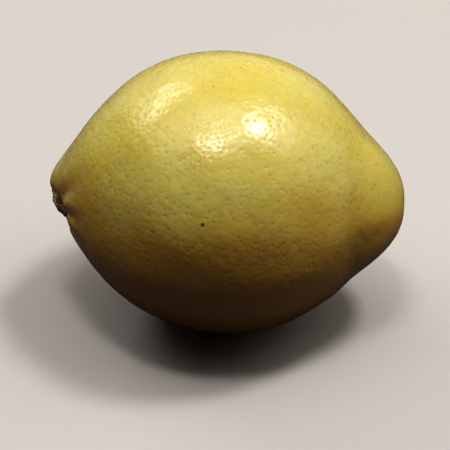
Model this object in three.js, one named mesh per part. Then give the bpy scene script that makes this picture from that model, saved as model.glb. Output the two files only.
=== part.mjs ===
// A whole fresh lemon lying on its side, in millimetres, with +Z up.
// The stem end points to -X and the nipple to +X. The fruit rests on a small flat spot under its belly.
// The origin is on the surface that it rests on, under the middle of its box.
import * as THREE from "three";

const degrees = THREE.MathUtils.degToRad;

// The fruit's skin is given by its distance from the fruit's centre, in each direction.
const BELLY_RADIUS = 30.25; // the round belly between the two ends
const REST_HEIGHT = 30.2; // from the surface up to the fruit's centre, a little less than the belly's reach

const STEM_AXIS = new THREE.Vector3(-38, 1.35, 1.8).normalize();
const STEM_RISE = 7.3; // how far the stem end stands out of the round belly
const STEM_SPREAD = degrees(20.5); // how slowly that falls away, which makes the shoulder
const STEM_TIP = degrees(3); // rounds the tip off

const NIPPLE_AXIS = new THREE.Vector3(38, -1.65, -2.2).normalize();
const NIPPLE_RISE = 9.05; // how far the nipple stands out of the round belly
const NIPPLE_SPREAD = degrees(24.2); // half the nipple's width, where it is half as high
const NIPPLE_STEEPNESS = 2.55; // the power by which its sides fall away

// The crease round the nipple's foot, which is deepest on the side that faces forward.
const CREASE_DEPTH = 0.7;
const CREASE_PLACE = degrees(30);
const CREASE_WIDTH = degrees(6.5);
const CREASE_SIDE = new THREE.Vector3(0.05, -0.97, -0.22).normalize();
const CREASE_LEAST = 0.15; // its share of the depth on the far side

// The pit at the nipple's tip, where the flower's style fell off.
const SCAR_DEPTH = 0.5;
const SCAR_WIDTH = degrees(2.6);

// The dished seat of the calyx, turned down and forward from the stem end.
const SEAT_AXIS = new THREE.Vector3(-0.84, -0.48, -0.22).normalize();
const SEAT_CENTRE = new THREE.Vector3(-35, -2.2, -1.4);
const SEAT_RADIUS = 4.4;
const SEAT_RIM = 0.3; // how far the seat's dish has risen at that radius
const SEAT_FLATNESS = 4; // the power by which it rises
const SEAT_EDGE = 1; // rounding between the dish and the skin
const SEAT_HOLD = degrees(40); // the skin further from the seat's middle isn't lowered
const CALYX_DIRECTION = SEAT_CENTRE.clone().normalize();

// Short ribs that run out from the calyx, and fainter ones that gather into the nipple.
const STEM_RIBS = { count: 9, height: 0.3, place: degrees(13), width: degrees(7) };
const NIPPLE_RIBS = { count: 7, height: 0.14, place: degrees(24), width: degrees(9) };
const RIB_WANDER = 1.1; // how unevenly the ribs are spaced, in radians

// Broad unevenness of the belly, as waves over the directions.
const LUMPS = [
  { height: 0.22, wave: new THREE.Vector3(2.1, 3.4, -1.2), phase: 0.27 },
  { height: 0.22, wave: new THREE.Vector3(-3.9, 1.6, 4.1), phase: 0.53 },
  { height: 0.14, wave: new THREE.Vector3(5.2, -4.8, 3.3), phase: 4.44 },
];

// Pits of the rind, which stand for its oil glands: larger than life and fewer, and shallower near both ends.
const PIT_DEPTH = 0.3;
const PIT_FREE_OF_REST = degrees(16); // none nearer to the flat spot's middle
const PIT_FREE_OF_SEAT = degrees(13);

// The grid of the skin: rings from the seat's centre to the nipple's tip, closer together at both ends.
const RINGS = 62;
const SECTORS = 92;
const RINGS_TO_ENDS = 0.3;

// The calyx: a woody disc with five short sepals, and the stub of the cut stalk in its middle.
const SEPALS = 5;
const SEPAL_LENGTH = 0.2; // as a share of the calyx's radius
const SEAT_GAP = 0.3;
const CALYX_SIDES = 60;
// Distance from the axis and height above the seat, from the underside's middle to the middle of the cut.
const CALYX_OUTLINE = [
  [0, SEAT_GAP],
  [3.3, SEAT_GAP],
  [3.6, SEAT_GAP + 0.2],
  [3.3, SEAT_GAP + 0.45],
  [2.3, SEAT_GAP + 0.6],
  [1.65, SEAT_GAP + 0.7],
  [1.5, SEAT_GAP + 1.25],
  [1.3, SEAT_GAP + 1.4],
  [0.7, SEAT_GAP + 1.3],
  [0, SEAT_GAP + 1.2],
];
const STALK_RADIUS = 1.65; // inside it, the calyx is round

const DOWN = new THREE.Vector3(0, 0, -1);

// The last digits of a large, fast wave serve as random numbers.
const CHANCE_WAVE = new THREE.Vector2(12.9898, 78.233);
const CHANCE_HEIGHT = 43758.5453;

// A bell that is 1 at its middle and falls to 1/e at its width.
const bell = (offset, width) => Math.exp(-((offset / width) ** 2));

function smoothLeast(a, b, blend) {
  const share = THREE.MathUtils.clamp(0.5 + (0.5 * (b - a)) / blend, 0, 1);
  return THREE.MathUtils.lerp(b, a, share) - blend * share * (1 - share);
}

// Two directions square to an axis, the first of them level.
function crossAxes(axis) {
  const level = new THREE.Vector3(0, 0, 1).cross(axis).normalize();
  return [level, axis.clone().cross(level)];
}

function ribs(direction, axis, { count, height, place, width }) {
  const [level, upright] = crossAxes(axis);
  const turn = Math.atan2(direction.dot(upright), direction.dot(level));
  const ridge = Math.cos(count * turn + RIB_WANDER * Math.sin(2 * turn));
  return height * ridge * bell(direction.angleTo(axis) - place, width);
}

function crease(direction) {
  const across = direction.clone().projectOnPlane(NIPPLE_AXIS).normalize();
  const facing = Math.max(0, across.dot(CREASE_SIDE));
  const depth = CREASE_DEPTH * THREE.MathUtils.lerp(CREASE_LEAST, 1, facing ** 2);
  return depth * bell(direction.angleTo(NIPPLE_AXIS) - CREASE_PLACE, CREASE_WIDTH);
}

function lumps(direction) {
  const waves = LUMPS.map(({ height, wave, phase }) => height * Math.sin(wave.dot(direction) + phase));
  return waves.reduce((sum, height) => sum + height);
}

// How far the seat's dish lets the skin reach in a direction.
function seatReach(direction) {
  const reach = SEAT_CENTRE.dot(SEAT_AXIS) / direction.dot(SEAT_AXIS);
  const radius = direction.clone().multiplyScalar(reach).distanceTo(SEAT_CENTRE);
  return reach + SEAT_RIM * (radius / SEAT_RADIUS) ** SEAT_FLATNESS;
}

function skinReach(direction) {
  const fromStem = direction.angleTo(STEM_AXIS);
  const fromNipple = direction.angleTo(NIPPLE_AXIS);
  const stem = STEM_RISE * Math.exp((STEM_TIP - Math.hypot(fromStem, STEM_TIP)) / STEM_SPREAD);
  const nipple = NIPPLE_RISE / (1 + (fromNipple / NIPPLE_SPREAD) ** NIPPLE_STEEPNESS);
  const ridges = ribs(direction, CALYX_DIRECTION, STEM_RIBS) + ribs(direction, NIPPLE_AXIS, NIPPLE_RIBS);
  const scar = SCAR_DEPTH * bell(fromNipple, SCAR_WIDTH);
  const reach = BELLY_RADIUS + stem + nipple + ridges + lumps(direction) - crease(direction) - scar;
  if (direction.angleTo(CALYX_DIRECTION) > SEAT_HOLD) return reach;
  return smoothLeast(reach, seatReach(direction), SEAT_EDGE);
}

// The ring's directions turn about an axis that leans from the seat's centre over to the nipple's tip.
function ringDirection(ring, sector) {
  const along = ring / RINGS;
  const turn = (2 * Math.PI * sector) / SECTORS;
  const polar = Math.PI * along - (RINGS_TO_ENDS / 2) * Math.sin(2 * Math.PI * along);
  const axis = CALYX_DIRECTION.clone().negate().lerp(NIPPLE_AXIS, along).normalize();
  const [level, upright] = crossAxes(axis);
  return axis
    .clone()
    .multiplyScalar(-Math.cos(polar))
    .addScaledVector(level, Math.sin(polar) * Math.cos(turn))
    .addScaledVector(upright, Math.sin(polar) * Math.sin(turn));
}

function gridFaces() {
  const at = (ring, sector) => 1 + (ring - 1) * SECTORS + (sector % SECTORS);
  const last = at(RINGS, 0);
  const faces = [];
  for (let sector = 0; sector < SECTORS; sector++) {
    faces.push(0, at(1, sector + 1), at(1, sector));
    for (let ring = 1; ring < RINGS - 1; ring++) {
      const [a, b] = [at(ring, sector), at(ring, sector + 1)];
      const [c, d] = [at(ring + 1, sector), at(ring + 1, sector + 1)];
      faces.push(a, b, d, a, d, c);
    }
    faces.push(last, at(RINGS - 1, sector), at(RINGS - 1, sector + 1));
  }
  return faces;
}

// A fixed random number from 0 to 1 for each point of the grid.
function chance(ring, sector) {
  const wave = CHANCE_HEIGHT * Math.sin(CHANCE_WAVE.dot(new THREE.Vector2(ring, sector % SECTORS)));
  return wave - Math.floor(wave);
}

// A point of the grid is a pit where its random number is the largest of those around it, so pits stay apart.
function pitDepth(ring, sector, direction) {
  if (direction.angleTo(DOWN) < PIT_FREE_OF_REST) return 0;
  if (direction.angleTo(CALYX_DIRECTION) < PIT_FREE_OF_SEAT) return 0;
  const steps = [-1, 0, 1];
  const around = steps.flatMap((up) => steps.map((across) => chance(ring + up, sector + SECTORS + across)));
  const isPit = chance(ring, sector) === Math.max(...around);
  return isPit ? PIT_DEPTH * Math.sin(direction.angleTo(NIPPLE_AXIS)) : 0;
}

// A point of the skin. The weight of the fruit presses its belly flat where it rests.
function gridPoint(ring, sector) {
  const direction = ringDirection(ring, sector);
  const reach = skinReach(direction) - pitDepth(ring, sector, direction);
  const point = direction.multiplyScalar(reach);
  point.z = Math.max(point.z, -REST_HEIGHT);
  return point;
}

// The middle of the seat, then ring by ring, then the nipple's tip.
function fruitGeometry() {
  const points = [gridPoint(0, 0)];
  for (let ring = 1; ring < RINGS; ring++)
    for (let sector = 0; sector < SECTORS; sector++) points.push(gridPoint(ring, sector));
  points.push(gridPoint(RINGS, 0));
  const geometry = new THREE.BufferGeometry().setFromPoints(points).setIndex(gridFaces());
  geometry.computeVertexNormals();
  return geometry;
}

// A turned disc whose rim is drawn in between the sepals.
function calyxGeometry() {
  const outline = CALYX_OUTLINE.map(([radius, height]) => new THREE.Vector2(radius, height));
  const geometry = new THREE.LatheGeometry(outline, CALYX_SIDES);
  const position = geometry.getAttribute("position");
  for (let i = 0; i < position.count; i++) {
    const [x, z] = [position.getX(i), position.getZ(i)];
    const radius = Math.hypot(x, z);
    const outside = Math.max(0, radius - STALK_RADIUS) / radius || 0;
    const notch = 1 - SEPAL_LENGTH * outside * (1 - Math.cos(SEPALS * Math.atan2(z, x)));
    position.setX(i, x * notch);
    position.setZ(i, z * notch);
  }
  geometry.computeVertexNormals();
  return geometry;
}

const rind = new THREE.MeshStandardMaterial({ color: "#e3c93f", roughness: 0.42, metalness: 0 });
const bark = new THREE.MeshStandardMaterial({ color: "#8d7a5b", roughness: 0.85, metalness: 0 });

const fruit = new THREE.Mesh(fruitGeometry(), rind);
fruit.name = "fruit";

const calyx = new THREE.Mesh(calyxGeometry(), bark);
calyx.name = "calyx";
calyx.position.copy(SEAT_CENTRE);
calyx.quaternion.setFromUnitVectors(new THREE.Vector3(0, 1, 0), SEAT_AXIS);

const lemon = new THREE.Group();
lemon.name = "lemon";
lemon.add(fruit, calyx);

const box = new THREE.Box3().setFromObject(lemon, true);
const middle = box.getCenter(new THREE.Vector3());
lemon.position.set(-middle.x, -middle.y, -box.min.z);

export default lemon;
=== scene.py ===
"""Dresses a whole fresh lemon that lies on its side on a plain pale floor.

The rind is a fine mesh on the same skin as the solid fruit, with its pores at their true size.
The calyx and the stub of the stalk are finer pieces on the same seat.
Lengths are in millimetres and angles in degrees, unless a docstring says otherwise.
"""

import logging
import math
from dataclasses import asdict, dataclass, field
from enum import Enum

import bpy
import numpy as np
import numpy.typing as npt
from bpy.types import Material, Node, NodeSocket, NodeTree, Object
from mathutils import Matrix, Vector, kdtree


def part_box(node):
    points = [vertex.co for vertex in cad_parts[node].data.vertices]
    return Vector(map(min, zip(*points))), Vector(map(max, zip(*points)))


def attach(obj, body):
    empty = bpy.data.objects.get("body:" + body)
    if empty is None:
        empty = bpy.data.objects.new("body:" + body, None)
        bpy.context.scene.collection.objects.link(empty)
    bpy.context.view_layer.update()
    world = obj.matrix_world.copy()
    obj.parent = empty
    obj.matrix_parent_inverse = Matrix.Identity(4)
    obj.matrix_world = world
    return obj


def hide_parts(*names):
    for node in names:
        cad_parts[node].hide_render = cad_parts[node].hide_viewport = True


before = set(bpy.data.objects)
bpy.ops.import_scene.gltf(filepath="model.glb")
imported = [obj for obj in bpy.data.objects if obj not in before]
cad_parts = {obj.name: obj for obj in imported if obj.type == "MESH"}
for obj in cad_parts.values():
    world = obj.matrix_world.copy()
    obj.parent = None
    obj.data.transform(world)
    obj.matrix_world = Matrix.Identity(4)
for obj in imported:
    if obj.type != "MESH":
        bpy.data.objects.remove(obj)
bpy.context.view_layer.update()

LOG = logging.getLogger("lemon")
METRES = 0.001
PHOTO_SIDE = 450
FULL_TURN = 2 * math.pi
NEXT_TO_NOTHING = 1e-9
SHARED_DECIMALS = 6
BLACK = (0.0, 0.0, 0.0, 1.0)
GREY = (0.5, 0.5, 0.5, 1.0)
WHITE = (1.0, 1.0, 1.0, 1.0)

Array = npt.NDArray[np.float64]
Values = Array | float
Index = npt.NDArray[np.int64]
Span = tuple[float, float]
Triple = tuple[float, float, float]
Colour = tuple[float, float, float, float]
Feed = NodeSocket | float | Triple | Colour


class Mark(Enum):
    """What a vertex of the object tells its material."""

    PORE = "pore"
    PORE_GAP = "pore_gap"
    PORE_OFFSET = "pore_offset"
    STEM_END = "stem_end"
    NIPPLE_TIP = "nipple_tip"
    # Painted shade: darker colour in the valley round the nipple's foot.
    CREASE = "crease"
    CUT = "cut"
    EDGE = "edge"
    # Painted shade: how far the surface faces down, which darkens the rind's colour.
    LOW_SIDE = "low_side"


class LampShape(Enum):
    """The outline of a studio lamp."""

    DISK = "DISK"
    RECTANGLE = "RECTANGLE"


def unit(vectors: Array) -> Array:
    """The same vectors with a length of one."""
    return vectors / np.linalg.norm(vectors, axis=-1, keepdims=True)


def angle_from(axis: Triple, directions: Array) -> Array:
    """How far each direction is turned away from an axis, in degrees."""
    return np.degrees(np.arccos(np.clip(directions @ unit(np.array(axis)), -1, 1)))


def bell(offset: Array, width: float) -> Array:
    """A bump that is 1 where the offset is 0, and has fallen to 1/e at its width."""
    return np.exp(-((offset / width) ** 2))


def blend(a: Values, b: Values, share: Values) -> Array:
    """The way from a to b, by a share from 0 to 1."""
    return a + (b - a) * share


def smooth_least(a: Array, b: Array, rounding: float) -> Array:
    """The smaller of two lengths, rounded where they are nearly alike."""
    share = np.clip(0.5 + 0.5 * (b - a) / rounding, 0, 1)
    return blend(b, a, share) - rounding * share * (1 - share)


def ripple(turn: Array, waves: tuple[Triple, ...]) -> Array:
    """The sum of waves round a turn, each with its height, its count and its phase in radians."""
    return sum(height * np.sin(count * turn + phase) for height, count, phase in waves)


def cross_axes(axis: Triple) -> tuple[Array, Array]:
    """Finds two unit vectors square to an axis.

    Args:
        axis: any vector along the axis.

    Returns:
        The first of them, which is level, and the second.
    """
    along = unit(np.array(axis))
    level = unit(np.cross((0, 0, 1), along))
    return level, np.cross(along, level)


def turn_about(axis: Triple, directions: Array) -> Array:
    """How far round an axis each direction lies, in radians."""
    level, upright = cross_axes(axis)
    return np.arctan2(directions @ upright, directions @ level)


def tree_of(points: Array) -> kdtree.KDTree:
    """Sorts points so that the nearest of them are soon found.

    Args:
        points: one point a row.

    Returns:
        The tree that finds them.
    """
    tree = kdtree.KDTree(len(points))
    for index, point in enumerate(points):
        tree.insert(point, index)
    tree.balance()
    return tree


@dataclass(frozen=True)
class Ribs:
    """Ridges that run out from one end of the fruit, unevenly spaced."""

    count: int
    height: float
    place: float
    width: float
    wander: float = 1.1

    def heights(self, axis: Triple, directions: Array) -> Array:
        """How far the ridges raise the skin.

        Args:
            axis: the way from the fruit's centre to that end.
            directions: one unit vector a row.

        Returns:
            One height a row.
        """
        turn = turn_about(axis, directions)
        ridge = np.cos(self.count * turn + self.wander * np.sin(2 * turn))
        return self.height * ridge * bell(angle_from(axis, directions) - self.place, self.width)


@dataclass(frozen=True)
class Waves:
    """Soft unevenness, made of waves that run through space in random directions."""

    height: float
    longest: float
    shortest: float
    seed: int
    count: int = 40

    def heights(self, points: Array) -> Array:
        """How far the waves raise each point.

        Args:
            points: one point a row.

        Returns:
            One height a row.
        """
        rng = np.random.default_rng(self.seed)
        runs = unit(rng.normal(size=(self.count, 3)))
        lengths = rng.uniform(self.shortest, self.longest, self.count)
        phases = rng.uniform(0, FULL_TURN, self.count)
        waves = np.sin(points @ (runs * (FULL_TURN / lengths)[:, None]).T + phases)
        return self.height * waves.sum(axis=1) * math.sqrt(2 / self.count)


@dataclass(frozen=True)
class Seat:
    """The dished place at the stem end that holds the calyx."""

    axis: Triple = (-0.84, -0.48, -0.22)
    centre: Triple = (-35.0, -2.2, -1.4)
    radius: float = 4.4
    rim: float = 0.3
    flatness: float = 4.0
    edge: float = 1.0
    hold: float = 40.0
    least_facing: float = 0.1

    def reach(self, directions: Array) -> Array:
        """How far the dish lets the skin reach in each direction.

        Args:
            directions: one unit vector a row.

        Returns:
            One distance from the fruit's centre a row.
        """
        along = unit(np.array(self.axis))
        reach = (np.array(self.centre) @ along) / np.maximum(directions @ along, self.least_facing)
        radius = np.linalg.norm(directions * reach[:, None] - np.array(self.centre), axis=1)
        return reach + self.rim * (radius / self.radius) ** self.flatness

    def lower(self, reach: Array, directions: Array) -> Array:
        """The skin's reach with the dish pressed into it."""
        held = angle_from(self.centre, directions) < self.hold
        return np.where(held, smooth_least(reach, self.reach(directions), self.edge), reach)


@dataclass(frozen=True)
class Crease:
    """The valley round the nipple's foot, deepest on one side."""

    depth: float = 0.7
    place: float = 30.0
    width: float = 6.5
    side: Triple = (0.05, -0.97, -0.22)
    least: float = 0.15

    def depths(self, axis: Triple, directions: Array) -> Array:
        """How far the valley lowers the skin.

        Args:
            axis: the nipple's own axis.
            directions: one unit vector a row.

        Returns:
            One depth a row.
        """
        along = unit(np.array(axis))
        across = unit(directions - (directions @ along)[:, None] * along + NEXT_TO_NOTHING)
        facing = np.maximum(0, across @ unit(np.array(self.side)))
        deep = self.depth * blend(self.least, 1, facing**2)
        return deep * bell(angle_from(axis, directions) - self.place, self.width)


@dataclass(frozen=True)
class Skin:
    """The lemon's skin, as its distance from the fruit's centre in each direction.

    Each lump is a slow wave over the skin: its height, how it runs, and its phase in radians.
    """

    belly_radius: float = 30.25
    rest_height: float = 30.2
    stem_axis: Triple = (-38.0, 1.35, 1.8)
    stem_rise: float = 7.3
    stem_spread: float = 20.5
    stem_tip: float = 3.0
    nipple_axis: Triple = (38.0, -1.65, -2.2)
    nipple_rise: float = 9.05
    nipple_spread: float = 24.2
    nipple_steepness: float = 2.55
    scar_depth: float = 0.5
    scar_width: float = 2.6
    crease: Crease = Crease()
    seat: Seat = Seat()
    stem_ribs: Ribs = Ribs(count=9, height=0.3, place=13.0, width=7.0)
    nipple_ribs: Ribs = Ribs(count=7, height=0.14, place=24.0, width=9.0)
    lumps: tuple[tuple[float, Triple, float], ...] = (
        (0.22, (2.1, 3.4, -1.2), 0.27),
        (0.22, (-3.9, 1.6, 4.1), 0.53),
        (0.14, (5.2, -4.8, 3.3), 4.44),
    )

    def reach(self, directions: Array) -> Array:
        """How far the smooth skin is from the fruit's centre.

        Args:
            directions: one unit vector a row.

        Returns:
            One distance a row.
        """
        from_stem = angle_from(self.stem_axis, directions)
        from_nipple = angle_from(self.nipple_axis, directions)
        fall = self.stem_tip - np.hypot(from_stem, self.stem_tip)
        stem = self.stem_rise * np.exp(fall / self.stem_spread)
        nipple = self.nipple_rise / (1 + (from_nipple / self.nipple_spread) ** self.nipple_steepness)
        ridges = self.stem_ribs.heights(self.seat.centre, directions)
        ridges += self.nipple_ribs.heights(self.nipple_axis, directions)
        lumps = sum(rise * np.sin(directions @ np.array(run) + phase) for rise, run, phase in self.lumps)
        scar = self.scar_depth * bell(from_nipple, self.scar_width)
        lowered = self.crease.depths(self.nipple_axis, directions) + scar
        return self.seat.lower(self.belly_radius + stem + nipple + ridges + lumps - lowered, directions)

    def points(self, directions: Array, raised: Values = 0.0) -> Array:
        """Points of the skin from the fruit's centre, with the belly pressed flat where it rests.

        Args:
            directions: one unit vector a row.
            raised: how far each point stands out of the smooth skin.

        Returns:
            One point a row.
        """
        points = directions * (self.reach(directions) + raised)[:, None]
        points[:, 2] = np.maximum(points[:, 2], -self.rest_height)
        return points


@dataclass(frozen=True)
class Pores:
    """The mouths of the rind's oil glands, at their true size."""

    count: int = 6800
    depth: float = 0.075
    radius: float = 0.45
    unevenness: float = 0.5
    elbow_room: float = 0.95
    neighbours: int = 6
    shove: float = 0.35
    rounds: int = 7
    overlapping: int = 2
    seed: int = 61

    def places(self) -> Array:
        """Draws directions at random, which push each other apart for a few rounds.

        Returns:
            One unit vector for each pore.
        """
        places = unit(np.random.default_rng(self.seed).normal(size=(self.count, 3)))
        room = self.elbow_room * math.sqrt(4 * math.pi / self.count)
        for _ in range(self.rounds):
            tree = tree_of(places)
            found = [tree.find_n(place, self.neighbours + 1) for place in places]
            near = np.array([[index for _, index, _ in nearest] for nearest in found])
            apart = places[:, None] - places[near[:, 1:]]
            gap = np.linalg.norm(apart, axis=2, keepdims=True)
            push = apart / gap * np.maximum(0, room - gap)
            places = unit(places + self.shove * push.sum(axis=1))
        return places

    def measure(self, skin: Skin, points: Array) -> tuple[Array, Array, Array]:
        """Measures how each point lies to the pores near it.

        Args:
            skin: the skin that the pores are in.
            points: points of that skin.

        Returns:
            The share of the full depth at each point, its distance from the nearest pore's middle,
            and its offset from there in that pore's widths.
        """
        rng = np.random.default_rng(self.seed + 1)
        depths = rng.uniform(1 - self.unevenness, 1, self.count)
        widths = self.radius * rng.uniform(1 - self.unevenness, 1 + self.unevenness, self.count)
        places = skin.points(self.places())
        tree = tree_of(places)
        found = [tree.find_n(point, self.overlapping) for point in points]
        near = np.array([[index for _, index, _ in nearest] for nearest in found])
        gaps = np.array([[gap for _, _, gap in nearest] for nearest in found])
        share = (depths[near] * np.exp(-((gaps / widths[near]) ** 2))).max(axis=1)
        first = near[:, 0]
        return share, gaps[:, 0], (points - places[first]) / widths[first][:, None]


def icosahedron() -> tuple[Array, list[tuple[int, int, int]]]:
    """The solid of twenty equal triangles, with edges two long.

    Returns:
        Its corners, and the corners of each face in the order that turns the face outwards.
    """
    golden = (1 + math.sqrt(5)) / 2
    corners = [(0, s, t * golden) for s in (-1, 1) for t in (-1, 1)]
    corners += [(s, t * golden, 0) for s in (-1, 1) for t in (-1, 1)]
    corners += [(t * golden, 0, s) for s in (-1, 1) for t in (-1, 1)]
    solid = np.array(corners, float)
    near = np.isclose(np.linalg.norm(solid[:, None] - solid[None], axis=2), 2)
    threes = [(a, b, c) for a in range(len(solid)) for b in range(a) for c in range(b)]
    faces = [(a, b, c) for a, b, c in threes if near[a, b] and near[b, c] and near[a, c]]
    return solid, [(a, b, c) if np.linalg.det(solid[[a, b, c]]) > 0 else (a, c, b) for a, b, c in faces]


def cut_triangle(parts: int) -> tuple[Array, Index]:
    """Cuts a triangle into equal smaller ones.

    Args:
        parts: how many parts each edge is cut into.

    Returns:
        How far each point lies along two of the edges, as shares, and the smaller triangles.
    """
    places = [(i, j) for i in range(parts + 1) for j in range(parts + 1 - i)]
    index = {place: n for n, place in enumerate(places)}
    up = [((i, j), (i + 1, j), (i, j + 1)) for i, j in places if i + j < parts]
    down = [((i + 1, j), (i + 1, j + 1), (i, j + 1)) for i, j in places if i + j < parts - 1]
    pattern = np.array([[index[place] for place in triangle] for triangle in up + down])
    return np.array(places, float) / parts, pattern


@dataclass(frozen=True)
class FaceMap:
    """The map of a ball's twenty faces, in equal cells that hold two faces each.

    The margin, the fill and the inset are shares of a cell's side.
    """

    columns: int = 4
    rows: int = 3
    margin: float = 0.02
    fill: float = 0.95
    inset: float = 0.01

    def spots(self, number: int, shares: Array) -> Array:
        """Where the points of one face lie on the map.

        Args:
            number: the face's number.
            shares: how far each point lies along two edges of the face.

        Returns:
            One place on the map a row.
        """
        cell, upper = divmod(number, 2)
        corner = np.array([cell % self.columns, cell // self.columns], float)
        inner = shares * self.fill + self.inset
        spot = 1 - inner if upper else inner
        return (corner + self.margin + spot * (1 - 2 * self.margin)) / (self.columns, self.rows)


def geodesic(parts: int) -> tuple[Array, Index, Array]:
    """A ball of nearly equal triangles, with the twenty faces that it grew from laid out on a map.

    Args:
        parts: how many parts each edge of the icosahedron is cut into.

    Returns:
        The unit vectors of its vertices, its triangles, and the map's place of each corner.
    """
    solid, faces = icosahedron()
    shares, pattern = cut_triangle(parts)
    face_map = FaceMap()
    points, triangles, maps = [], [], []
    for number, (a, b, c) in enumerate(faces):
        along, aside = solid[b] - solid[a], solid[c] - solid[a]
        points.append(unit(solid[a] + shares[:, :1] * along + shares[:, 1:] * aside))
        triangles.append(pattern + number * len(shares))
        maps.append(face_map.spots(number, shares)[pattern])
    stacked = np.concatenate(points)
    rounded = np.round(stacked, SHARED_DECIMALS)
    _, first, same = np.unique(rounded, axis=0, return_index=True, return_inverse=True)
    return stacked[first], same.reshape(-1)[np.concatenate(triangles)], np.concatenate(maps)


def mesh_object(name: str, points: Array, faces: Index | list[list[int]]) -> Object:
    """A smooth mesh object in the scene.

    Args:
        name: the object's name.
        points: its vertices.
        faces: the vertices of each face.

    Returns:
        The new object.
    """
    mesh = bpy.data.meshes.new(name)
    mesh.from_pydata((points * METRES).tolist(), [], [list(map(int, face)) for face in faces])
    mesh.polygons.foreach_set("use_smooth", np.ones(len(mesh.polygons), bool))
    made = bpy.data.objects.new(name, mesh)
    bpy.context.scene.collection.objects.link(made)
    return made


def closed_rings(name: str, top: Array, rings: Array, bottom: Array) -> Object:
    """A closed mesh from rings of points between two end points.

    Args:
        name: the object's name.
        top: the first end point.
        rings: rings, sectors, then x, y and z.
        bottom: the last end point.

    Returns:
        The new object.
    """
    count, sectors = rings.shape[:2]
    here = np.arange(sectors)
    there = np.roll(here, -1)
    faces = [[0, 1 + a, 1 + b] for a, b in zip(here, there)]
    for ring in range(count - 1):
        upper, lower = 1 + ring * sectors, 1 + (ring + 1) * sectors
        faces += [[upper + a, lower + a, lower + b, upper + b] for a, b in zip(here, there)]
    last = 1 + (count - 1) * sectors
    faces += [[last + a, last + sectors, last + b] for a, b in zip(here, there)]
    return mesh_object(name, np.vstack([top, rings.reshape(-1, 3), bottom]), faces)


def set_mark(made: Object, mark: Mark, values: Array) -> None:
    """Gives each vertex a number or a vector that the material reads by name.

    Args:
        made: the piece.
        mark: what the values mean.
        values: one number a vertex, or one vector a row.
    """
    kind, field_name = ("FLOAT", "value") if values.ndim == 1 else ("FLOAT_VECTOR", "vector")
    attribute = made.data.attributes.new(mark.value, kind, "POINT")
    attribute.data.foreach_set(field_name, values.astype(np.float32).ravel())


def dress(made: Object, material: Material, slot: str, *nodes: str) -> None:
    """Gives a finished piece its material and its place in the frame.

    Args:
        made: the piece.
        material: its material.
        slot: the material slot's name, which is not used.
        nodes: the solids that it stands for.
    """
    made.data.materials.append(material)
    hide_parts(*nodes)
    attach(made, "root")


class Wiring:
    """Adds nodes to a node tree and links them."""

    def __init__(self, tree: NodeTree) -> None:
        """Takes the tree that it works on."""
        self.tree = tree

    def add(self, kind: str, inputs: dict[str | int, Feed] | None = None, **settings: object) -> Node:
        """Adds a node.

        Args:
            kind: the node's type in Blender.
            inputs: for each input, a socket to link it to or a value to set.
            settings: the node's own properties.

        Returns:
            The new node.
        """
        node = self.tree.nodes.new(kind)
        for label, setting in settings.items():
            setattr(node, label, setting)
        for name, value in (inputs or {}).items():
            if isinstance(value, NodeSocket):
                self.tree.links.new(value, node.inputs[name])
            else:
                node.inputs[name].default_value = value
        return node

    def math(self, operation: str, *values: Feed) -> NodeSocket:
        """The result of one sum on numbers."""
        return self.add("ShaderNodeMath", dict(enumerate(values)), operation=operation).outputs[0]

    def mix(self, share: Feed, a: Feed, b: Feed) -> NodeSocket:
        """A colour between two others."""
        node = self.add("ShaderNodeMix", {0: share, 6: a, 7: b}, data_type="RGBA")
        return node.outputs[2]

    def tint(self, colour: Feed, towards: Colour, mask: NodeSocket, strength: float) -> NodeSocket:
        """A colour taken towards another where a mask says so."""
        return self.mix(self.math("MULTIPLY", mask, strength), colour, towards)

    def ramp(self, value: Feed, low: Feed, high: Feed) -> NodeSocket:
        """A number's way from low to high, kept between 0 and 1."""
        limits = {"Value": value, "From Min": low, "From Max": high}
        return self.add("ShaderNodeMapRange", limits).outputs["Result"]

    def group(self, tree: NodeTree, **inputs: Feed) -> Node:
        """Places a shared node group with its own values."""
        return self.add("ShaderNodeGroup", inputs, node_tree=tree)

    def link(self, socket: NodeSocket, node: Node, name: str) -> None:
        """Leads a socket to a node's input."""
        self.tree.links.new(socket, node.inputs[name])

    def mark(self, mark: Mark, output: str = "Fac") -> NodeSocket:
        """What the mesh's vertices carry: a number, or with the output Vector a vector."""
        return self.add("ShaderNodeAttribute", attribute_name=mark.value).outputs[output]

    def place(self) -> NodeSocket:
        """Where the surface is, in metres."""
        return self.add("ShaderNodeTexCoord").outputs["Object"]

    def length(self, vector: NodeSocket) -> NodeSocket:
        """How long a vector is."""
        return self.add("ShaderNodeVectorMath", {0: vector}, operation="LENGTH").outputs["Value"]


def new_group(
    name: str, inputs: dict[str, float | Colour], outputs: dict[str, str]
) -> tuple[Wiring, dict[str, NodeSocket], Node]:
    """Starts a shader node group.

    Args:
        name: the group's name.
        inputs: each input's name with its usual value, a number or a colour.
        outputs: each output's name with its socket type.

    Returns:
        Its wiring, its inputs by name, and the node that takes its outputs.
    """
    tree = bpy.data.node_groups.new(name, "ShaderNodeTree")
    for label, value in inputs.items():
        kind = "NodeSocketFloat" if isinstance(value, float) else "NodeSocketColor"
        tree.interface.new_socket(label, in_out="INPUT", socket_type=kind).default_value = value
    for label, kind in outputs.items():
        tree.interface.new_socket(label, in_out="OUTPUT", socket_type=kind)
    wiring = Wiring(tree)
    given = tree.nodes.new("NodeGroupInput").outputs
    return wiring, {label: given[label] for label in inputs}, tree.nodes.new("NodeGroupOutput")


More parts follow.
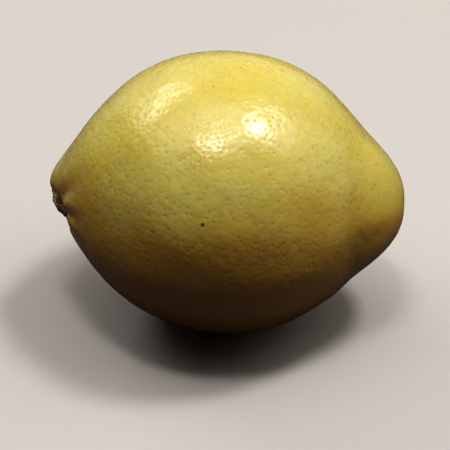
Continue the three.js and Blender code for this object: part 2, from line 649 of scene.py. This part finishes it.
def mottle_group() -> NodeTree:
    """Builds clouded colour: two colours in soft patches.

    Returns:
        The node group. Its scale counts waves in a metre.
    """
    inputs = {"Light": WHITE, "Dark": GREY, "Scale": 60.0, "Detail": 3.0, "Low": 0.35, "High": 0.65}
    outputs = {"Colour": "NodeSocketColor", "Mask": "NodeSocketFloat"}
    wiring, given, out = new_group("Mottle", inputs, outputs)
    noise = {"Vector": wiring.place(), "Scale": given["Scale"], "Detail": given["Detail"]}
    clouds = wiring.add("ShaderNodeTexNoise", noise)
    mask = wiring.ramp(clouds.outputs["Fac"], given["Low"], given["High"])
    wiring.link(wiring.mix(mask, given["Light"], given["Dark"]), out, "Colour")
    wiring.link(mask, out, "Mask")
    return wiring.tree


def specks_group() -> NodeTree:
    """Builds small round specks, at most one in each cell of space, each of its own size.

    Returns:
        The node group. Its scale counts cells in a metre.
    """
    smallest = 0.6
    spread = 0.6
    inputs = {"Scale": 900.0, "Size": 0.35, "Softness": 0.2, "Share": 1.0}
    wiring, given, out = new_group("Specks", inputs, {"Mask": "NodeSocketFloat"})
    cells = wiring.add("ShaderNodeTexVoronoi", {"Vector": wiring.place(), "Scale": given["Scale"]})
    chance = wiring.add("ShaderNodeSeparateColor", {"Color": cells.outputs["Color"]}).outputs
    share = wiring.math("MULTIPLY_ADD", chance["Red"], spread, smallest)
    size = wiring.math("MULTIPLY", given["Size"], share)
    outer = wiring.math("ADD", size, given["Softness"])
    mask = wiring.ramp(cells.outputs["Distance"], outer, size)
    kept = wiring.math("LESS_THAN", chance["Green"], given["Share"])
    wiring.link(wiring.math("MULTIPLY", mask, kept), out, "Mask")
    return wiring.tree


@dataclass(frozen=True)
class Groups:
    """The node groups that several finishes share."""

    mottle: NodeTree = field(default_factory=mottle_group)
    specks: NodeTree = field(default_factory=specks_group)


@dataclass(frozen=True)
class Mottle:
    """One layer of clouds: waves in a metre, their detail, and the noise where they start and are full."""

    scale: float
    detail: float = 3.0
    low: float = 0.35
    high: float = 0.65

    def place(self, wiring: Wiring, groups: Groups, **colours: Colour) -> Node:
        """Places the shared group with this layer's values."""
        values = {name.capitalize(): value for name, value in asdict(self).items()}
        return wiring.group(groups.mottle, **values, **colours)


@dataclass(frozen=True)
class Specks:
    """One layer of specks: cells in a metre, their size and soft edge, and the share of cells with one."""

    scale: float
    size: float
    softness: float
    share: float

    def mask(self, wiring: Wiring, groups: Groups) -> NodeSocket:
        """Where the specks are, by the shared group with this layer's values."""
        values = {name.capitalize(): value for name, value in asdict(self).items()}
        return wiring.group(groups.specks, **values).outputs["Mask"]


def new_material(name: str) -> tuple[Material, Wiring, Node]:
    """Starts a material.

    Args:
        name: the material's name.

    Returns:
        The material, its wiring and its main shader.
    """
    material = bpy.data.materials.new(name)
    material.use_nodes = True
    return material, Wiring(material.node_tree), material.node_tree.nodes["Principled BSDF"]


@dataclass(frozen=True)
class Blemish:
    """A small dark mark on the rind, by its pixel in the photograph."""

    across: float
    down: float
    radius: float
    strength: float


Placed = list[tuple[Vector, Blemish]]


@dataclass(frozen=True)
class RindFinish:
    """Waxy yellow rind with darker pores, fine mottling, a few marks and painted shade where it faces
    down.

    The tints are how far a mask takes the colour. The spans are the two values between which a mask
    goes from nothing to full: for the mouth's middle in a pore's widths, and for a blemish's edge in
    the blemish's radii. The clouds blur where the painted shade on the downward-facing rind begins, and
    the flecks where the dry ring at the stem does. The depths and the scatter's radius are in metres.
    """

    light: Colour = (0.85, 0.77, 0.258, 1.0)
    deep: Colour = (0.83, 0.715, 0.173, 1.0)
    # Painted shade: the darker, more orange colour of the rind where it faces down.
    underside: Colour = (0.80, 0.50, 0.07, 1.0)
    pore: Colour = (0.56, 0.36, 0.018, 1.0)
    mouth: Colour = (0.30, 0.19, 0.012, 1.0)
    ochre: Colour = (0.62, 0.42, 0.06, 1.0)
    brown: Colour = (0.17, 0.085, 0.025, 1.0)
    clouds: Mottle = Mottle(55.0)
    flecks: Mottle = Mottle(520.0, detail=2.0, low=0.45, high=0.75)
    freckles: Specks = Specks(210.0, size=0.05, softness=0.03, share=0.16)
    grain: Specks = Specks(3200.0, size=0.2, softness=0.35, share=0.9)
    fleck_tint: float = 0.15
    # How far the painted shade takes the colour where the rind faces down.
    underside_tint: float = 0.88
    # Partly the glands' own olive colour and partly painted shade: the pores' dimples are darker by their
    # depth.
    pore_tint: float = 0.15
    mouth_tint: float = 0.4
    freckle_tint: float = 0.5
    # How far the painted shade in the crease round the nipple darkens the colour.
    crease_tint: float = 0.35
    stem_tint: float = 0.75
    dry_tint: float = 0.8
    tip_tint: float = 0.85
    clouded_side: float = 0.1
    flecked_stem: float = 0.25
    # Where the painted shade on the downward-facing rind starts and is full.
    underside_span: Span = (-0.5, -0.1)
    mouth_gap_span: Span = (0.36, 0.28)
    mouth_middle_span: Span = (0.66, 0.0)
    mouth_pore_span: Span = (0.5, 1.0)
    dry_span: Span = (0.86, 1.1)
    blemish_span: Span = (1.3, 0.6)
    roughness: float = 0.19
    pore_roughness: float = 0.2
    dry_roughness: float = 0.3
    gloss: float = 0.75
    coat: float = 0.25
    coat_roughness: float = 0.3
    scatter: float = 0.42
    scatter_radius: Triple = (0.0050, 0.0015, 0.0005)
    mouth_depth: float = 0.00007
    grain_depth: float = 0.000012

    def skin_colour(self, wiring: Wiring, groups: Groups) -> tuple[NodeSocket, NodeSocket]:
        """Clouds two yellows into each other, works in finer flecks, and paints shade where the rind faces
        down.

        Args:
            wiring: the material's wiring.
            groups: the shared node groups.

        Returns:
            The colour, and the mask of the flecks.
        """
        clouds = self.clouds.place(wiring, groups, Light=self.light, Dark=self.deep).outputs
        flecks = self.flecks.place(wiring, groups).outputs["Mask"]
        colour = wiring.tint(clouds["Colour"], self.pore, flecks, self.fleck_tint)
        # Painted shade: the colour goes darker and more orange where the surface faces down, with a cloudy
        # edge.
        low_side = wiring.mark(Mark.LOW_SIDE)
        uneven = wiring.math("MULTIPLY_ADD", clouds["Mask"], self.clouded_side, low_side)
        low = wiring.ramp(uneven, *self.underside_span)
        return wiring.tint(colour, self.underside, low, self.underside_tint), flecks

    def pore_masks(self, wiring: Wiring) -> tuple[NodeSocket, NodeSocket]:
        """Finds the pores' dimples and the small dark mouth in the middle of each.

        Args:
            wiring: the material's wiring.

        Returns:
            The mask of the dimples, and the mask of the mouths.
        """
        offset = wiring.mark(Mark.PORE_OFFSET, "Vector")
        middle = wiring.ramp(wiring.length(offset), *self.mouth_middle_span)
        near = wiring.ramp(wiring.mark(Mark.PORE_GAP), *self.mouth_gap_span)
        pore = wiring.mark(Mark.PORE)
        mouth = wiring.math("MULTIPLY", middle, near)
        return pore, wiring.math("MULTIPLY", mouth, wiring.ramp(pore, *self.mouth_pore_span))

    def add_blemishes(self, wiring: Wiring, colour: NodeSocket, blemishes: Placed) -> NodeSocket:
        """Puts the blemishes on the colour, each at its place on the rind.

        Args:
            wiring: the material's wiring.
            colour: the rind's colour.
            blemishes: each blemish with its place on the rind, in metres.

        Returns:
            The colour with the blemishes.
        """
        for place, blemish in blemishes:
            gap = wiring.add("ShaderNodeVectorMath", {0: wiring.place(), 1: place}, operation="DISTANCE")
            limits = [share * blemish.radius * METRES for share in self.blemish_span]
            mask = wiring.ramp(gap.outputs["Value"], *limits)
            colour = wiring.tint(colour, self.brown, mask, blemish.strength)
        return colour

    def material(self, groups: Groups, blemishes: Placed) -> Material:
        """Builds the material.

        Args:
            groups: the shared node groups.
            blemishes: each blemish with its place on the rind, in metres.

        Returns:
            The finished material.
        """
        material, wiring, shader = new_material("lemon_rind")
        colour, flecks = self.skin_colour(wiring, groups)
        pore, mouth = self.pore_masks(wiring)
        stem = wiring.mark(Mark.STEM_END)
        flecked = wiring.math("MULTIPLY_ADD", flecks, self.flecked_stem, stem)
        dry = wiring.ramp(flecked, *self.dry_span)
        layers = [
            # Partly the glands' own colour and partly painted shade in the dimples.
            (self.pore, pore, self.pore_tint),
            (self.mouth, mouth, self.mouth_tint),
            (self.brown, self.freckles.mask(wiring, groups), self.freckle_tint),
            # Painted shade: the crease round the nipple's foot is darkened by its depth.
            (self.pore, wiring.mark(Mark.CREASE), self.crease_tint),
            (self.ochre, stem, self.stem_tint),
            (self.brown, dry, self.dry_tint),
            (self.brown, wiring.mark(Mark.NIPPLE_TIP), self.tip_tint),
        ]
        for towards, mask, strength in layers:
            colour = wiring.tint(colour, towards, mask, strength)
        wiring.link(self.add_blemishes(wiring, colour, blemishes), shader, "Base Color")

        rough = wiring.math("MULTIPLY_ADD", pore, self.pore_roughness, self.roughness)
        wiring.link(wiring.math("MULTIPLY_ADD", dry, self.dry_roughness, rough), shader, "Roughness")
        grain = {"Height": self.grain.mask(wiring, groups), "Distance": self.grain_depth}
        grained = wiring.add("ShaderNodeBump", grain, invert=True).outputs["Normal"]
        pitted = {"Height": mouth, "Distance": self.mouth_depth, "Normal": grained}
        wiring.link(wiring.add("ShaderNodeBump", pitted, invert=True).outputs["Normal"], shader, "Normal")
        shader.inputs["Subsurface Weight"].default_value = self.scatter
        shader.inputs["Subsurface Radius"].default_value = self.scatter_radius
        shader.inputs["Subsurface Scale"].default_value = 1.0
        shader.inputs["Specular IOR Level"].default_value = self.gloss
        shader.inputs["Coat Weight"].default_value = self.coat
        shader.inputs["Coat Roughness"].default_value = self.coat_roughness
        return material


@dataclass(frozen=True)
class BarkFinish:
    """Dry brown plant matter: the calyx, and the stub of the stalk with its paler cut.

    The tints are how far a mask takes the colour. The depth is in metres.
    """

    name: str
    light: Colour
    dark: Colour
    cut: Colour = (0.70, 0.55, 0.38, 1.0)
    clouds: Mottle = Mottle(900.0, detail=5.0)
    holes: Specks = Specks(2600.0, size=0.25, softness=0.15, share=0.5)
    cut_tint: float = 1.0
    edge_tint: float = 0.6
    hole_tint: float = 0.5
    roughness: float = 0.82
    depth: float = 0.00012

    def material(self, groups: Groups) -> Material:
        """Builds the material.

        Args:
            groups: the shared node groups.

        Returns:
            The finished material.
        """
        material, wiring, shader = new_material(self.name)
        clouds = self.clouds.place(wiring, groups, Light=self.light, Dark=self.dark).outputs
        holes = self.holes.mask(wiring, groups)
        colour = wiring.tint(clouds["Colour"], self.cut, wiring.mark(Mark.CUT), self.cut_tint)
        colour = wiring.tint(colour, self.cut, wiring.mark(Mark.EDGE), self.edge_tint)
        wiring.link(wiring.tint(colour, self.dark, holes, self.hole_tint), shader, "Base Color")
        lift = wiring.math("SUBTRACT", clouds["Mask"], holes)
        bump = wiring.add("ShaderNodeBump", {"Height": lift, "Distance": self.depth})
        wiring.link(bump.outputs["Normal"], shader, "Normal")
        shader.inputs["Roughness"].default_value = self.roughness
        return material


@dataclass(frozen=True)
class Fruit:
    """The whole fruit: its skin, pores and colour marks.

    Fine relief fades out within the calm angles of both ends, and over the press height above the
    flat spot. The painted shade where the rind faces down is lifted near the nipple, so the nipple keeps
    its yellow. The width of the scar's tint is a share of the scar's own.
    """

    skin: Skin
    centre: Vector
    pores: Pores = Pores()
    pebbles: Waves = Waves(height=0.010, longest=3.4, shortest=1.9, seed=7)
    swells: Waves = Waves(height=0.05, longest=16.0, shortest=8.0, seed=8)
    finish: RindFinish = RindFinish()
    parts: int = 98
    calm_seat: float = 9.0
    calm_tip: float = 4.5
    press: float = 0.6
    # How far, and over what angle, the painted shade is lifted near the nipple.
    nipple_yellow: float = 0.14
    nipple_span: float = 26.0
    ochre_start: float = 4.0
    ochre_width: float = 6.5
    scar_tint_width: float = 0.8

    def relief(self, directions: Array, smooth: Array) -> tuple[Array, dict[Mark, Array]]:
        """Works out the fine relief.

        Args:
            directions: one unit vector a row.
            smooth: the smooth skin's point in each direction.

        Returns:
            How far the relief raises the skin, and how each point lies to the pores.
        """
        near_seat = bell(angle_from(self.skin.seat.centre, directions), self.calm_seat)
        near_tip = bell(angle_from(self.skin.nipple_axis, directions), self.calm_tip)
        pressed = np.clip((smooth[:, 2] + self.skin.rest_height) / self.press, 0, 1)
        calm = (1 - near_seat) * (1 - near_tip) * pressed
        share, gap, offset = self.pores.measure(self.skin, smooth)
        pore = share * calm
        raised = (self.pebbles.heights(smooth) + self.swells.heights(smooth)) * calm
        marks = {Mark.PORE: pore, Mark.PORE_GAP: gap + (1 - calm), Mark.PORE_OFFSET: offset}
        return raised - self.pores.depth * pore, marks

    def colour_marks(self, made: Object, directions: Array) -> dict[Mark, Array]:
        """Works out where the rind changes colour, and where shade is painted on it below and in the
        crease.

        Args:
            made: the fruit's mesh.
            directions: the direction of each of its vertices.

        Returns:
            The value of each mark at each vertex.
        """
        normals = np.zeros(3 * len(directions), np.float32)
        made.data.vertex_normals.foreach_get("vector", normals)
        seat_angle = angle_from(self.skin.seat.centre, directions)
        tip_angle = angle_from(self.skin.nipple_axis, directions)
        yellow = self.nipple_yellow * bell(tip_angle, self.nipple_span)
        crease = self.skin.crease.depths(self.skin.nipple_axis, directions)
        return {
            # Painted shade: how far each vertex's normal faces down, less near the nipple.
            Mark.LOW_SIDE: -normals[2::3] - yellow,
            Mark.STEM_END: bell(np.maximum(0, seat_angle - self.ochre_start), self.ochre_width),
            Mark.NIPPLE_TIP: bell(tip_angle, self.scar_tint_width * self.skin.scar_width),
            # Painted shade: the crease is darker by its depth.
            Mark.CREASE: crease / self.skin.crease.depth,
        }

    def build(self, groups: Groups, blemishes: Placed) -> Object:
        """Builds and dresses the fruit.

        Args:
            groups: the shared node groups.
            blemishes: each blemish with its place on the rind, in metres.

        Returns:
            The fruit.
        """
        directions, triangles, maps = geodesic(self.parts)
        smooth = self.skin.points(directions)
        raised, pore_marks = self.relief(directions, smooth)
        points = self.skin.points(directions, raised) + np.array(self.centre)
        made = mesh_object("rind", points, triangles)
        made.data.uv_layers.new(name="OFBake").uv.foreach_set("vector", maps.astype(np.float32).ravel())
        for mark, values in (pore_marks | self.colour_marks(made, directions)).items():
            set_mark(made, mark, values)
        dress(made, self.finish.material(groups, blemishes), "rind", "fruit")
        return made


@dataclass(frozen=True)
class Calyx:
    """The dry calyx: a star of five short sepals on the seat, round the stub of the cut stalk.

    The outline, the fibres and the slant are waves round the axis, each with its height, its count
    and its phase in radians. The stalk's profile goes down from the cut, in shares of the stalk's
    radius and height. The collar's place is in stalk radii, and the heights of the cut's middle and
    of its lowest ring are shares of the stalk's height.
    """

    skin: Skin
    centre: Vector
    sepals: int = 5
    reach: float = 3.9
    waist: float = 2.35
    point: float = 0.8
    outline: tuple[Triple, ...] = ((0.16, 2, 1.0), (0.03, 17, 0.0), (0.02, 41, 2.0))
    thickness: float = 0.42
    edge_thickness: float = 0.05
    least_thickness: float = 0.12
    collar: float = 0.3
    collar_place: float = 1.25
    collar_width: float = 0.45
    midrib: float = 0.12
    wrinkle: float = 0.05
    wrinkles: int = 29
    wrinkle_lean: float = 5.0
    curl: float = 0.35
    curl_evenness: float = 0.6
    curl_start: float = 2.0
    root: float = 0.35
    rings: int = 22
    sectors: int = 200
    stalk_radius: float = 1.5
    stalk_height: float = 0.95
    stalk_lift: float = 0.15
    stalk_root: float = 0.1
    stalk_profile: tuple[Span, ...] = (
        (0.25, 0.86), (0.5, 0.84), (0.72, 0.9), (0.88, 1.0), (0.97, 0.97), (1.0, 0.88),
        (1.02, 0.7), (1.03, 0.5), (1.08, 0.3), (1.2, 0.12), (1.35, -0.1),
    )
    fibres: tuple[Triple, ...] = ((0.05, 11, 1.0), (0.03, 23, 0.0))
    slant: tuple[Triple, ...] = ((0.12, 1, 0.871), (0.05, 7, 0.0))
    cut_middle: float = 0.95
    cut_lowest: float = 0.83
    cut_fade: float = 1.15
    sepal_finish: BarkFinish = BarkFinish("dry_calyx", (0.72, 0.54, 0.35, 1.0), (0.46, 0.29, 0.16, 1.0))
    stalk_finish: BarkFinish = BarkFinish("cut_stalk", (0.58, 0.41, 0.25, 1.0), (0.32, 0.19, 0.10, 1.0))

    def on_seat(self, across: Array, up: Array, height: Array) -> Array:
        """Finds points over the seat.

        Args:
            across: how far each lies across the seat.
            up: how far each lies up the seat.
            height: how high each lies above the skin.

        Returns:
            The points in the frame.
        """
        seat = self.skin.seat
        level, upright = cross_axes(seat.axis)
        flat = np.array(seat.centre) + across[..., None] * level + up[..., None] * upright
        skin = self.skin.points(unit(flat.reshape(-1, 3))).reshape(flat.shape)
        return skin + height[..., None] * unit(np.array(seat.axis)) + np.array(self.centre)

    def turned(self, radius: Array, height: Array, turn: Array) -> Array:
        """Points over the seat, given round its axis."""
        return self.on_seat(radius * np.cos(turn), radius * np.sin(turn), height)

    def on_axis(self, height: float) -> Array:
        """The point over the seat's middle at a height above the skin."""
        return self.turned(np.zeros(1), np.full(1, height), np.zeros(1))

    def star(self, groups: Groups) -> Object:
        """Builds and dresses the five sepals, fused in one dry star.

        Args:
            groups: the shared node groups.

        Returns:
            The star.
        """
        turn = np.linspace(0, FULL_TURN, self.sectors, endpoint=False)
        lobe = (0.5 + 0.5 * np.cos(self.sepals * turn)) ** self.point
        outline = blend(self.waist, self.reach, lobe) * (1 + ripple(turn, self.outline))
        share = (np.arange(1, self.rings + 1) / self.rings)[:, None]
        radius = share * outline
        body = self.thickness * (1 - share**3) + self.edge_thickness
        collar = self.collar * bell(radius - self.collar_place * self.stalk_radius, self.collar_width)
        midrib = self.midrib * lobe**4 * (1 - share) * np.minimum(1, 2 * share)
        wrinkles = self.wrinkle * np.sin(self.wrinkles * turn + self.wrinkle_lean * share) * share
        uneven = blend(np.sin(turn + self.curl_start), 1, self.curl_evenness)
        curled = self.curl * lobe**2 * share**5 * uneven
        upper = body + collar + midrib + wrinkles + curled
        lower = np.minimum(upper - self.least_thickness, curled - self.root * (1 - share**6))
        rings = np.concatenate([self.turned(radius, upper, turn), self.turned(radius, lower, turn)[::-1]])
        made = closed_rings("calyx_star", self.on_axis(self.thickness), rings, self.on_axis(-self.root))
        edge = np.concatenate([share**8 * lobe, np.zeros_like(radius)])
        set_mark(made, Mark.EDGE, np.concatenate([[0], edge.reshape(-1), [0]]))
        dress(made, self.sepal_finish.material(groups), "calyx", "calyx")
        return made

    def stub(self, groups: Groups) -> Object:
        """Builds and dresses the stub of the stalk, cut off a little unevenly.

        Args:
            groups: the shared node groups.

        Returns:
            The stub.
        """
        turn = np.linspace(0, FULL_TURN, self.sectors // 2, endpoint=False)
        across, along = np.array(self.stalk_profile).T[..., None]
        radius = self.stalk_radius * across * (1 + ripple(turn, self.fibres) * across)
        slant = ripple(turn, self.slant) * np.clip(along, 0, 1) * across
        height = self.stalk_height * along + slant + self.stalk_lift
        top = self.on_axis(self.cut_middle * self.stalk_height)
        rings = self.turned(radius, height, turn)
        made = closed_rings("stalk_stub", top, rings, self.on_axis(-self.stalk_root))
        pale = np.clip(self.cut_fade - across**3, 0, 1) * (along > self.cut_lowest) * np.ones_like(turn)
        set_mark(made, Mark.CUT, np.concatenate([[1], pale.reshape(-1), [0]]))
        dress(made, self.stalk_finish.material(groups), "calyx", "calyx")
        return made


def hang(name: str, data: bpy.types.ID, place: Vector, back: Vector) -> Object:
    """Puts a lamp or a camera in the scene.

    Args:
        name: its name.
        data: its own settings.
        place: where it is, in metres.
        back: the way to it from what it faces.

    Returns:
        The new object.
    """
    made = bpy.data.objects.new(name, data)
    made.location = place
    made.rotation_mode = "QUATERNION"
    made.rotation_quaternion = back.to_track_quat("Z", "Y")
    bpy.context.scene.collection.objects.link(made)
    return made


@dataclass(frozen=True)
class Lamp:
    """A soft lamp of the studio, aimed at the fruit. Lengths are in metres, and its power in watts."""

    name: str
    towards: Triple
    size: Span
    power: float
    shape: LampShape = LampShape.RECTANGLE
    colour: Triple = (1.0, 0.97, 0.93)
    distance: float = 1.0

    def build(self, target: Vector) -> None:
        """Hangs the lamp in its direction from the target.

        Args:
            target: the place that it shines on, in metres.
        """
        light = bpy.data.lights.new(self.name, "AREA")
        light.shape = self.shape.value
        light.size = self.size[0]
        if self.shape is LampShape.RECTANGLE:
            light.size_y = self.size[1]
        light.energy = self.power
        light.color = self.colour
        away = Vector(self.towards).normalized()
        hang(self.name, light, target + away * self.distance, away).visible_camera = False
        LOG.info("%s: %.2f W", self.name, self.power)


@dataclass(frozen=True)
class Studio:
    """The plain pale floor, the soft lamps and the camera at the photograph's angle.

    The centre is the fruit's, in the photograph's pixels. The floor's side and the distances where
    its light fades into the backdrop are in metres.
    """

    elevation: float = 37.0
    distance: float = 420.0
    pixels_per_mm: float = 4.626
    centre_across: float = 221.7
    centre_down: float = 192.0
    floor_side: float = 12.0
    floor_lit: Span = (0.3, 1.6)
    floor_colour: Colour = (0.66, 0.64, 0.62, 1.0)
    floor_bounce: Colour = (0.05, 0.04, 0.08, 1.0)
    floor_roughness: float = 0.7
    backdrop: Colour = (0.60, 0.58, 0.56, 1.0)
    sky: Colour = (1.0, 0.72, 0.66, 1.0)
    sky_strength: float = 0.02
    view_transform: str = "Standard"
    look: str = "High Contrast"
    lamps: tuple[Lamp, ...] = (
        Lamp("ceiling", (0.0, 0.06, 1.0), (2.2, 0.6), 4.1),
        Lamp("overhead", (0.371, 0.087, 0.925), (0.20, 0.20), 2.7, LampShape.DISK),
        Lamp("overhead_front", (-0.07, -0.162, 0.984), (0.22, 0.12), 1.6, colour=(1.0, 0.97, 0.92)),
        Lamp("back_left", (-0.53, 0.60, 0.60), (0.56, 0.17), 1.35, colour=(1.0, 0.98, 0.95)),
        Lamp("right", (0.78, 0.05, 0.62), (0.7, 0.7), 1.0),
        Lamp("back", (0.0, 0.98, 0.16), (2.0, 0.9), 1.8),
    )

    def axes(self) -> tuple[Vector, Vector, Vector]:
        """Works out how the camera is turned.

        Returns:
            Its right, its up, and the way back from the object to it.
        """
        lift = math.radians(self.elevation)
        back = Vector((0, -math.cos(lift), math.sin(lift)))
        return Vector((1, 0, 0)), Vector((0, math.sin(lift), math.cos(lift))), back

    def add_camera(self, centre: Vector) -> None:
        """Aims the camera so that the fruit's centre falls on its pixel in the photograph.

        Args:
            centre: the fruit's centre.
        """
        right, up, back = self.axes()
        half = PHOTO_SIDE / 2
        aside = (half - self.centre_across) / self.pixels_per_mm
        below = (self.centre_down - half) / self.pixels_per_mm
        target = centre + right * aside + up * below
        data = bpy.data.cameras.new("camera")
        data.angle = 2 * math.atan(half / self.pixels_per_mm / self.distance)
        place = (target + back * self.distance) * METRES
        bpy.context.scene.camera = hang("camera", data, place, back)
        LOG.info("camera: %.1f degrees wide", math.degrees(data.angle))

    def add_floor(self) -> None:
        """Lays the floor, pale as far as the eye sees, but sending little light back up to the fruit."""
        half = self.floor_side / 2 / METRES
        corners = np.array([(-half, -half, 0), (half, -half, 0), (half, half, 0), (-half, half, 0)], float)
        floor = mesh_object("floor", corners, [[0, 1, 2, 3]])
        material, wiring, shader = new_material("floor")
        seen = wiring.add("ShaderNodeLightPath").outputs["Is Camera Ray"]
        wiring.link(wiring.mix(seen, self.floor_bounce, self.floor_colour), shader, "Base Color")
        unlit = wiring.ramp(wiring.length(wiring.place()), *self.floor_lit)
        glow = wiring.mix(wiring.math("MULTIPLY", unlit, seen), BLACK, self.backdrop)
        wiring.link(glow, shader, "Emission Color")
        shader.inputs["Emission Strength"].default_value = 1.0
        shader.inputs["Roughness"].default_value = self.floor_roughness
        floor.data.materials.append(material)
        LOG.info("floor: %.1f m wide", self.floor_side)

    def add_sky(self) -> None:
        """Fills the shade with a little even light, in front of a pale backdrop."""
        world = bpy.data.worlds.new("studio")
        world.use_nodes = True
        wiring = Wiring(world.node_tree)
        background = world.node_tree.nodes["Background"]
        seen = wiring.add("ShaderNodeLightPath").outputs["Is Camera Ray"]
        dim = tuple(self.sky_strength * channel for channel in self.sky)
        wiring.link(wiring.mix(seen, dim, self.backdrop), background, "Color")
        bpy.context.scene.world = world

    def build(self, centre: Vector) -> None:
        """Builds the studio round the fruit.

        Args:
            centre: the fruit's centre.
        """
        self.add_floor()
        self.add_sky()
        for lamp in self.lamps:
            lamp.build(centre * METRES)
        self.add_camera(centre)
        view = bpy.context.scene.view_settings
        view.view_transform = self.view_transform
        view.look = self.look


@dataclass(frozen=True)
class Lemon:
    """Where the lemon and its blemishes are in the frame."""

    skin: Skin = Skin()
    studio: Studio = Studio()
    coarse_parts: int = 20
    ray_length: float = 40.0
    ray_steps: int = 400
    blemishes: tuple[Blemish, ...] = (
        Blemish(204, 225, 0.42, 0.85),
        Blemish(127, 193, 0.3, 0.4),
        Blemish(143, 278, 0.35, 0.4),
        # Painted shade: this dark mark lies where the nipple's foot turns away from the light.
        Blemish(374, 232, 0.35, 0.4),
        Blemish(66, 194, 0.45, 0.6),
    )

    def centre(self) -> Vector:
        """Finds the fruit's centre from where its solid lies in the frame.

        Returns:
            The centre.
        """
        directions, _, _ = geodesic(self.coarse_parts)
        points = self.skin.points(directions)
        middle = (points.min(axis=0) + points.max(axis=0)) / 2
        low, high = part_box("fruit")
        solid = (low + high) / 2 / METRES
        return Vector((solid.x - middle[0], solid.y - middle[1], self.skin.rest_height))

    def place_of(self, blemish: Blemish, centre: Vector) -> Vector:
        """Finds where a blemish's pixel of the photograph meets the skin.

        Args:
            blemish: the blemish.
            centre: the fruit's centre.

        Returns:
            Its place, in metres.
        """
        right, up, back = self.studio.axes()
        across = (blemish.across - self.studio.centre_across) / self.studio.pixels_per_mm
        above = (self.studio.centre_down - blemish.down) / self.studio.pixels_per_mm
        nearness = np.linspace(0, self.ray_length, self.ray_steps)
        ray = np.array(right * across + up * above) + nearness[:, None] * np.array(back)
        outside = np.linalg.norm(ray, axis=1) > self.skin.reach(unit(ray))
        return (Vector(ray[int(np.argmax(outside))]) + centre) * METRES

    def placed_blemishes(self, centre: Vector) -> Placed:
        """Each blemish with its place on the rind, in metres."""
        return [(self.place_of(blemish, centre), blemish) for blemish in self.blemishes]


def main() -> None:
    """Builds the studio and the lemon."""
    logging.basicConfig(level=logging.INFO, format="%(name)s: %(message)s")
    lemon = Lemon()
    centre = lemon.centre()
    LOG.info("fruit's centre: %.2f, %.2f, %.2f mm", *centre)
    groups = Groups()
    lemon.studio.build(centre)
    fruit = Fruit(lemon.skin, centre)
    calyx = Calyx(lemon.skin, centre)
    rind = fruit.build(groups, lemon.placed_blemishes(centre))
    for piece in (rind, calyx.star(groups), calyx.stub(groups)):
        LOG.info("%s: %d faces", piece.name, len(piece.data.polygons))


if __name__ == "__main__":
    main()
